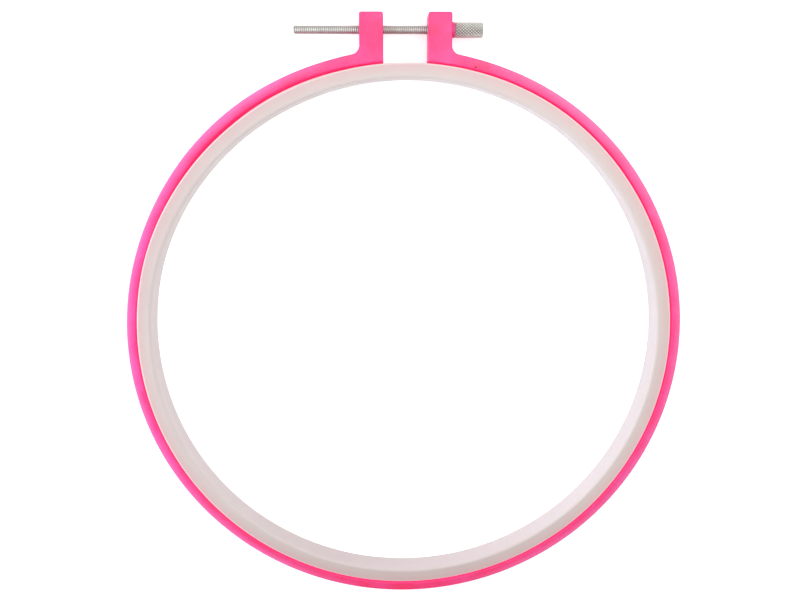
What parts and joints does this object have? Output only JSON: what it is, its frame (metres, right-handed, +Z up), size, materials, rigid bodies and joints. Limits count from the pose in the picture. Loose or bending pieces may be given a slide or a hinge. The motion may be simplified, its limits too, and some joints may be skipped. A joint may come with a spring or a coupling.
{
  "type": "embroidery hoop",
  "caption": "Round plastic embroidery hoop: a plain inner ring inside a split outer ring, whose lugs are drawn together by a knurled clamping screw to hold cloth taut.",
  "frame": {"origin": "middle of the hoop's footprint, on its underside, with the hoop lying flat", "axes": "+Z up through the rings, +Y towards the lugs and the screw, +X along the screw towards its knurled head"},
  "size_m": [0.2076, 0.2208, 0.009],
  "materials": {
    "pink_plastic": "smooth moulded, semi-gloss, slightly translucent",
    "white_plastic": "smooth moulded, semi-gloss, warm off-white",
    "plated_steel": "bright nickel plating"
  },
  "bodies": {
    "outer_ring": {"outer_ring": "pink_plastic", "hex_nut": "plated_steel"},
    "inner_ring": {"inner_ring": "white_plastic"},
    "washer": {"thrust_washer": "pink_plastic"},
    "screw": {"threaded_rod": "plated_steel", "knurled_head": "plated_steel"}
  },
  "joints": [
    {"name": "inner_ring_lift", "type": "slide", "parent": "outer_ring", "child": "inner_ring", "axis": [0, 0, 1], "range_m": [0, 0.03]},
    {"name": "screw_travel", "type": "slide", "parent": "outer_ring", "child": "washer", "axis": [1, 0, 0], "range_m": [0, 0.0231]},
    {"name": "screw_turn", "type": "hinge", "parent": "washer", "child": "screw", "pos_m": [0.01745, 0.10487, 0.0045], "axis": [1, 0, 0], "range_deg": [0, 11880]}
  ],
  "couplings": [
    {"joint": "screw_turn", "follows": "screw_travel", "rad_per_m": 8976}
  ]
}
